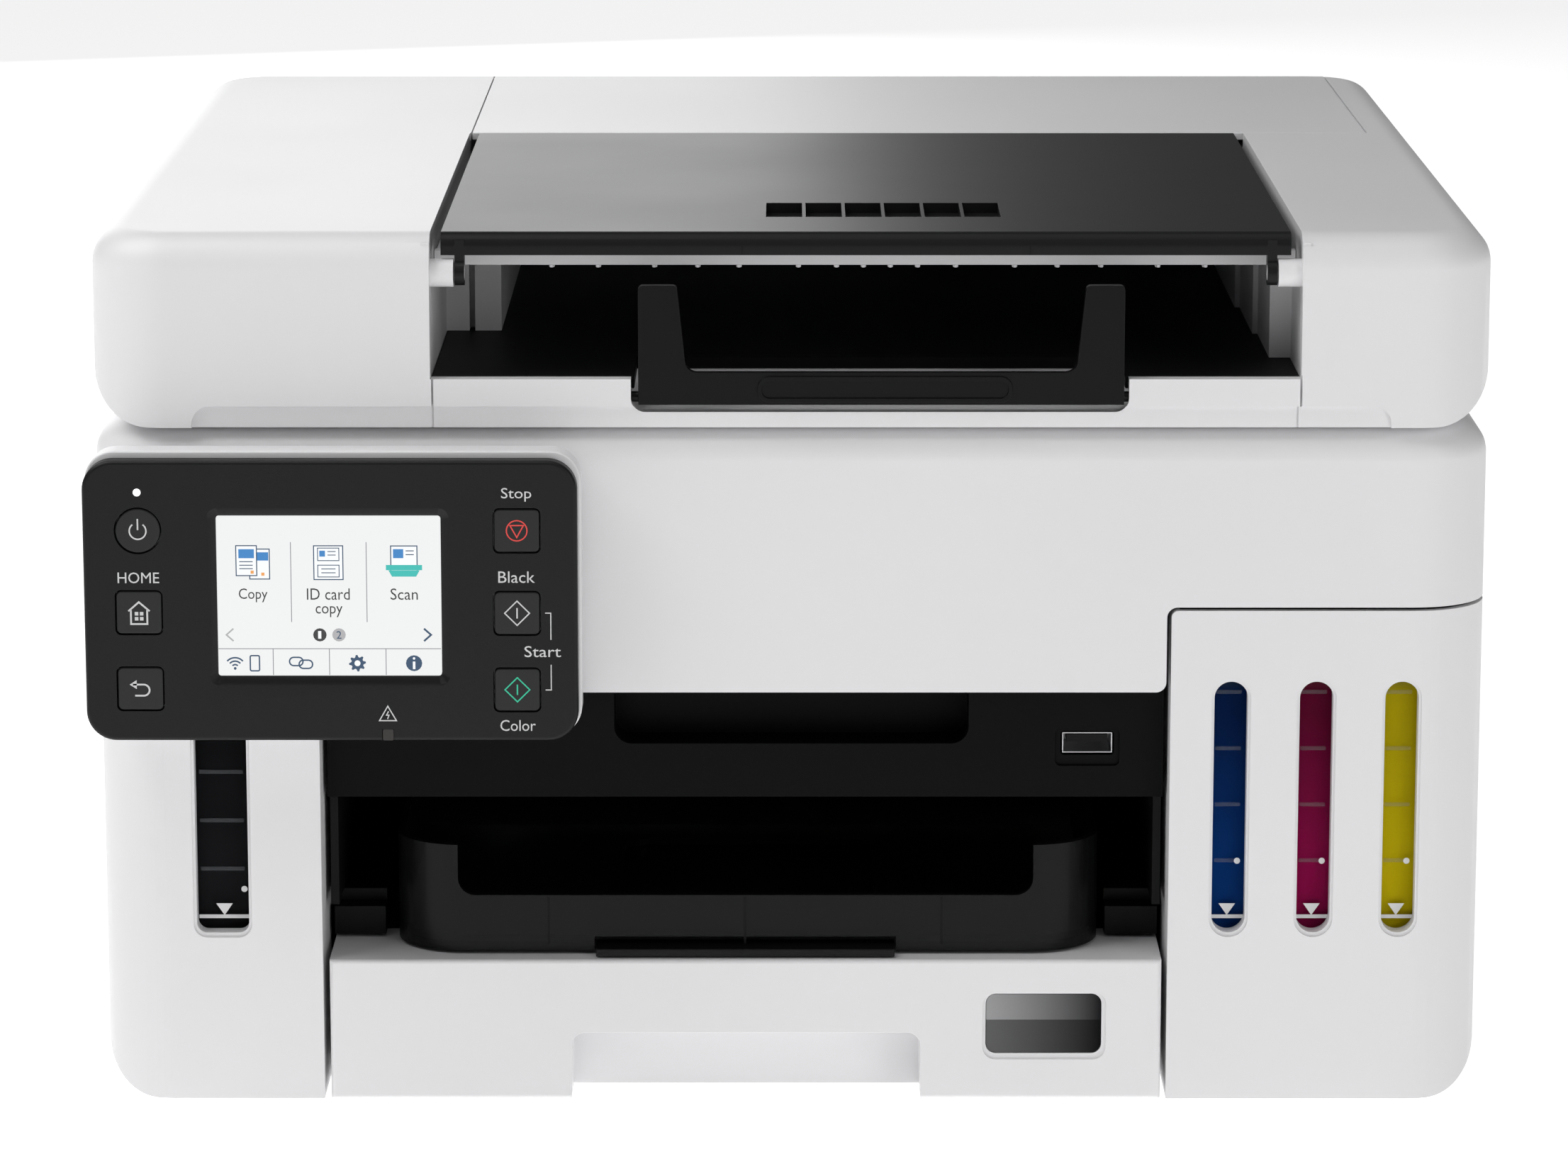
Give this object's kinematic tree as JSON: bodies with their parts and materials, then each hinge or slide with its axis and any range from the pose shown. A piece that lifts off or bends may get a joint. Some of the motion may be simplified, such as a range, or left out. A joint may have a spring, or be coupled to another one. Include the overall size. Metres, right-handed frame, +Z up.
{
  "type": "inkjet printer",
  "caption": "Desktop inkjet printer with front ink windows, paper cassette, smoked output tray, tilting touch panel, flatbed scanner and document feeder lid.",
  "frame": {"origin": "on the table under the centre of the overall box", "axes": "+X to the printer's right seen from the front, +Y to the back, +Z up; the front with the trays and panel faces -Y"},
  "size_m": [0.399, 0.41, 0.254],
  "materials": {
    "white_shell": "fine moulded texture, satin",
    "white_pad": "smooth white film",
    "black_textured": "leather-like moulded grain",
    "black_inner": "matt",
    "button_black": "satin",
    "smoky_clear": "smoked transparent, polished",
    "grey_plastic": "matt",
    "screen": "lit display",
    "window_tint": "dark glossy",
    "tank_clear": "clear",
    "ink_black": "liquid",
    "ink_cyan": "liquid",
    "ink_magenta": "liquid",
    "ink_yellow": "liquid",
    "cap_black": "matt",
    "cap_cyan": "matt",
    "cap_magenta": "matt",
    "cap_yellow": "matt",
    "roller_rubber": "ground rubber",
    "foot_rubber": "matt",
    "steel": "zinc plated sheet",
    "glass": "polished float glass",
    "circuit_green": "solder mask"
  },
  "bodies": {
    "chassis": {"base_frame": "black_inner", "left_tank_cover": "white_shell", "right_tank_cover": "white_shell", "rear_cover": "white_shell", "rubber_feet": "foot_rubber", "output_guide": "black_inner", "inner_front_panel": "black_textured", "black_ink_tank": "tank_clear", "color_ink_tank": "tank_clear", "black_ink": "ink_black", "cyan_ink": "ink_cyan", "magenta_ink": "ink_magenta", "yellow_ink": "ink_yellow", "print_platen": "black_inner", "carriage_rail": "steel", "purge_unit": "grey_plastic", "drive_motors": "steel", "main_board": "circuit_green", "power_supply": "black_inner", "connector_ports": "steel", "housing_screws": "steel"},
    "maintenance_cartridge": {"maintenance_cartridge": "grey_plastic"},
    "rear_access_door": {"rear_access_cover": "white_shell"},
    "cassette": {"cassette_tray": "grey_plastic", "cassette_front": "white_shell", "cassette_window": "window_tint"},
    "left_paper_guide": {"left_paper_guide": "grey_plastic"},
    "right_paper_guide": {"right_paper_guide": "grey_plastic"},
    "output_tray": {"output_tray": "smoky_clear"},
    "tray_extension": {"tray_extension": "smoky_clear"},
    "carriage": {"print_carriage": "black_inner", "print_head": "black_inner"},
    "feed_roller": {"feed_roller": "roller_rubber"},
    "exit_roller": {"exit_roller": "roller_rubber"},
    "scanner_unit": {"scanner_housing": "white_shell", "platen_glass": "glass"},
    "scan_bar": {"scan_bar": "grey_plastic"},
    "operation_panel": {"panel_housing": "white_shell", "panel_face": "black_textured", "touch_screen": "screen"},
    "document_feeder": {"lid_frame": "white_shell", "document_deck": "black_inner", "document_tray": "white_shell", "pressure_pad": "white_pad"},
    "feeder_cover": {"feeder_cover": "white_shell"},
    "document_tray_cover": {"document_tray_cover": "smoky_clear"},
    "document_stopper": {"document_stopper": "smoky_clear"},
    "left_document_guide": {"left_document_guide": "grey_plastic"},
    "right_document_guide": {"right_document_guide": "grey_plastic"},
    "pickup_roller": {"pickup_roller": "roller_rubber"},
    "power_button": {"power_button": "button_black"},
    "home_button": {"home_button": "button_black"},
    "back_button": {"back_button": "button_black"},
    "stop_button": {"stop_button": "button_black"},
    "mono_start_button": {"mono_start_button": "button_black"},
    "color_start_button": {"color_start_button": "button_black"},
    "black_tank_cap": {"black_tank_cap": "cap_black"},
    "cyan_tank_cap": {"cyan_tank_cap": "cap_cyan"},
    "magenta_tank_cap": {"magenta_tank_cap": "cap_magenta"},
    "yellow_tank_cap": {"yellow_tank_cap": "cap_yellow"}
  },
  "joints": [
    {"name": "cartridge_slide", "type": "slide", "parent": "chassis", "child": "maintenance_cartridge", "axis": [0, 1, 0], "range_m": [0, 0.08]},
    {"name": "rear_door_hinge", "type": "hinge", "parent": "chassis", "child": "rear_access_door", "pos_m": [-0.015, 0.2036, 0.0636], "axis": [1, 0, 0], "range_deg": [-70, 0]},
    {"name": "cassette_slide", "type": "slide", "parent": "chassis", "child": "cassette", "axis": [0, -1, 0], "range_m": [0, 0.2]},
    {"name": "left_paper_guide_slide", "type": "slide", "parent": "cassette", "child": "left_paper_guide", "axis": [1, 0, 0], "range_m": [0, 0.055]},
    {"name": "right_paper_guide_slide", "type": "slide", "parent": "cassette", "child": "right_paper_guide", "axis": [-1, 0, 0], "range_m": [0, 0.055]},
    {"name": "output_tray_slide", "type": "slide", "parent": "chassis", "child": "output_tray", "axis": [0, -1, 0], "range_m": [0, 0.07]},
    {"name": "tray_extension_slide", "type": "slide", "parent": "output_tray", "child": "tray_extension", "axis": [0, -1, 0], "range_m": [0, 0.09]},
    {"name": "carriage_slide", "type": "slide", "parent": "chassis", "child": "carriage", "axis": [-1, 0, 0], "range_m": [0, 0.28]},
    {"name": "feed_roller_spin", "type": "hinge", "parent": "chassis", "child": "feed_roller", "pos_m": [-0.015, 0.034, 0.098], "axis": [1, 0, 0], "continuous": true},
    {"name": "exit_roller_spin", "type": "hinge", "parent": "chassis", "child": "exit_roller", "pos_m": [-0.015, -0.076, 0.097], "axis": [1, 0, 0], "continuous": true},
    {"name": "scanner_unit_hinge", "type": "hinge", "parent": "chassis", "child": "scanner_unit", "pos_m": [0, 0.2036, 0.1613], "axis": [1, 0, 0], "range_deg": [-40, 0]},
    {"name": "scan_bar_slide", "type": "slide", "parent": "scanner_unit", "child": "scan_bar", "axis": [1, 0, 0], "range_m": [0, 0.31]},
    {"name": "panel_tilt", "type": "hinge", "parent": "scanner_unit", "child": "operation_panel", "pos_m": [-0.13, -0.1905, 0.1905], "axis": [1, 0, 0], "range_deg": [-45, 0]},
    {"name": "feeder_lid_hinge", "type": "hinge", "parent": "scanner_unit", "child": "document_feeder", "pos_m": [0, 0.203, 0.2005], "axis": [1, 0, 0], "range_deg": [-70, 0]},
    {"name": "feeder_cover_hinge", "type": "hinge", "parent": "document_feeder", "child": "feeder_cover", "pos_m": [0.041, 0.1946, 0.2528], "axis": [1, 0, 0], "range_deg": [-70, 0]},
    {"name": "document_tray_hinge", "type": "hinge", "parent": "document_feeder", "child": "document_tray_cover", "pos_m": [0.021, -0.18, 0.2426], "axis": [1, 0, 0], "range_deg": [0, 105]},
    {"name": "document_stopper_hinge", "type": "hinge", "parent": "document_feeder", "child": "document_stopper", "pos_m": [0.025, -0.1832, 0.2076], "axis": [1, 0, 0], "range_deg": [-88, 0]},
    {"name": "left_document_guide_slide", "type": "slide", "parent": "document_feeder", "child": "left_document_guide", "axis": [1, 0, 0], "range_m": [0, 0.055]},
    {"name": "right_document_guide_slide", "type": "slide", "parent": "document_feeder", "child": "right_document_guide", "axis": [-1, 0, 0], "range_m": [0, 0.055]},
    {"name": "pickup_roller_spin", "type": "hinge", "parent": "document_feeder", "child": "pickup_roller", "pos_m": [0.021, 0.072, 0.236], "axis": [1, 0, 0], "continuous": true},
    {"name": "power_press", "type": "slide", "parent": "operation_panel", "child": "power_button", "axis": [0, 1, 0], "range_m": [0, 0.0008], "stiffness_N_per_m": 400},
    {"name": "home_press", "type": "slide", "parent": "operation_panel", "child": "home_button", "axis": [0, 1, 0], "range_m": [0, 0.0008], "stiffness_N_per_m": 400},
    {"name": "back_press", "type": "slide", "parent": "operation_panel", "child": "back_button", "axis": [0, 1, 0], "range_m": [0, 0.0008], "stiffness_N_per_m": 400},
    {"name": "stop_press", "type": "slide", "parent": "operation_panel", "child": "stop_button", "axis": [0, 1, 0], "range_m": [0, 0.0008], "stiffness_N_per_m": 400},
    {"name": "mono_start_press", "type": "slide", "parent": "operation_panel", "child": "mono_start_button", "axis": [0, 1, 0], "range_m": [0, 0.0008], "stiffness_N_per_m": 400},
    {"name": "color_start_press", "type": "slide", "parent": "operation_panel", "child": "color_start_button", "axis": [0, 1, 0], "range_m": [0, 0.0008], "stiffness_N_per_m": 400},
    {"name": "black_cap_hinge", "type": "hinge", "parent": "chassis", "child": "black_tank_cap", "pos_m": [-0.1625, -0.127, 0.149], "axis": [1, 0, 0], "range_deg": [-95, 0]},
    {"name": "cyan_cap_hinge", "type": "hinge", "parent": "chassis", "child": "cyan_tank_cap", "pos_m": [0.12555, -0.127, 0.149], "axis": [1, 0, 0], "range_deg": [-95, 0]},
    {"name": "magenta_cap_hinge", "type": "hinge", "parent": "chassis", "child": "magenta_tank_cap", "pos_m": [0.1503, -0.127, 0.149], "axis": [1, 0, 0], "range_deg": [-95, 0]},
    {"name": "yellow_cap_hinge", "type": "hinge", "parent": "chassis", "child": "yellow_tank_cap", "pos_m": [0.174, -0.127, 0.149], "axis": [1, 0, 0], "range_deg": [-95, 0]}
  ],
  "couplings": [
    {"joint": "right_paper_guide_slide", "follows": "left_paper_guide_slide", "ratio": 1},
    {"joint": "right_document_guide_slide", "follows": "left_document_guide_slide", "ratio": 1},
    {"joint": "exit_roller_spin", "follows": "feed_roller_spin", "ratio": 1.4}
  ]
}
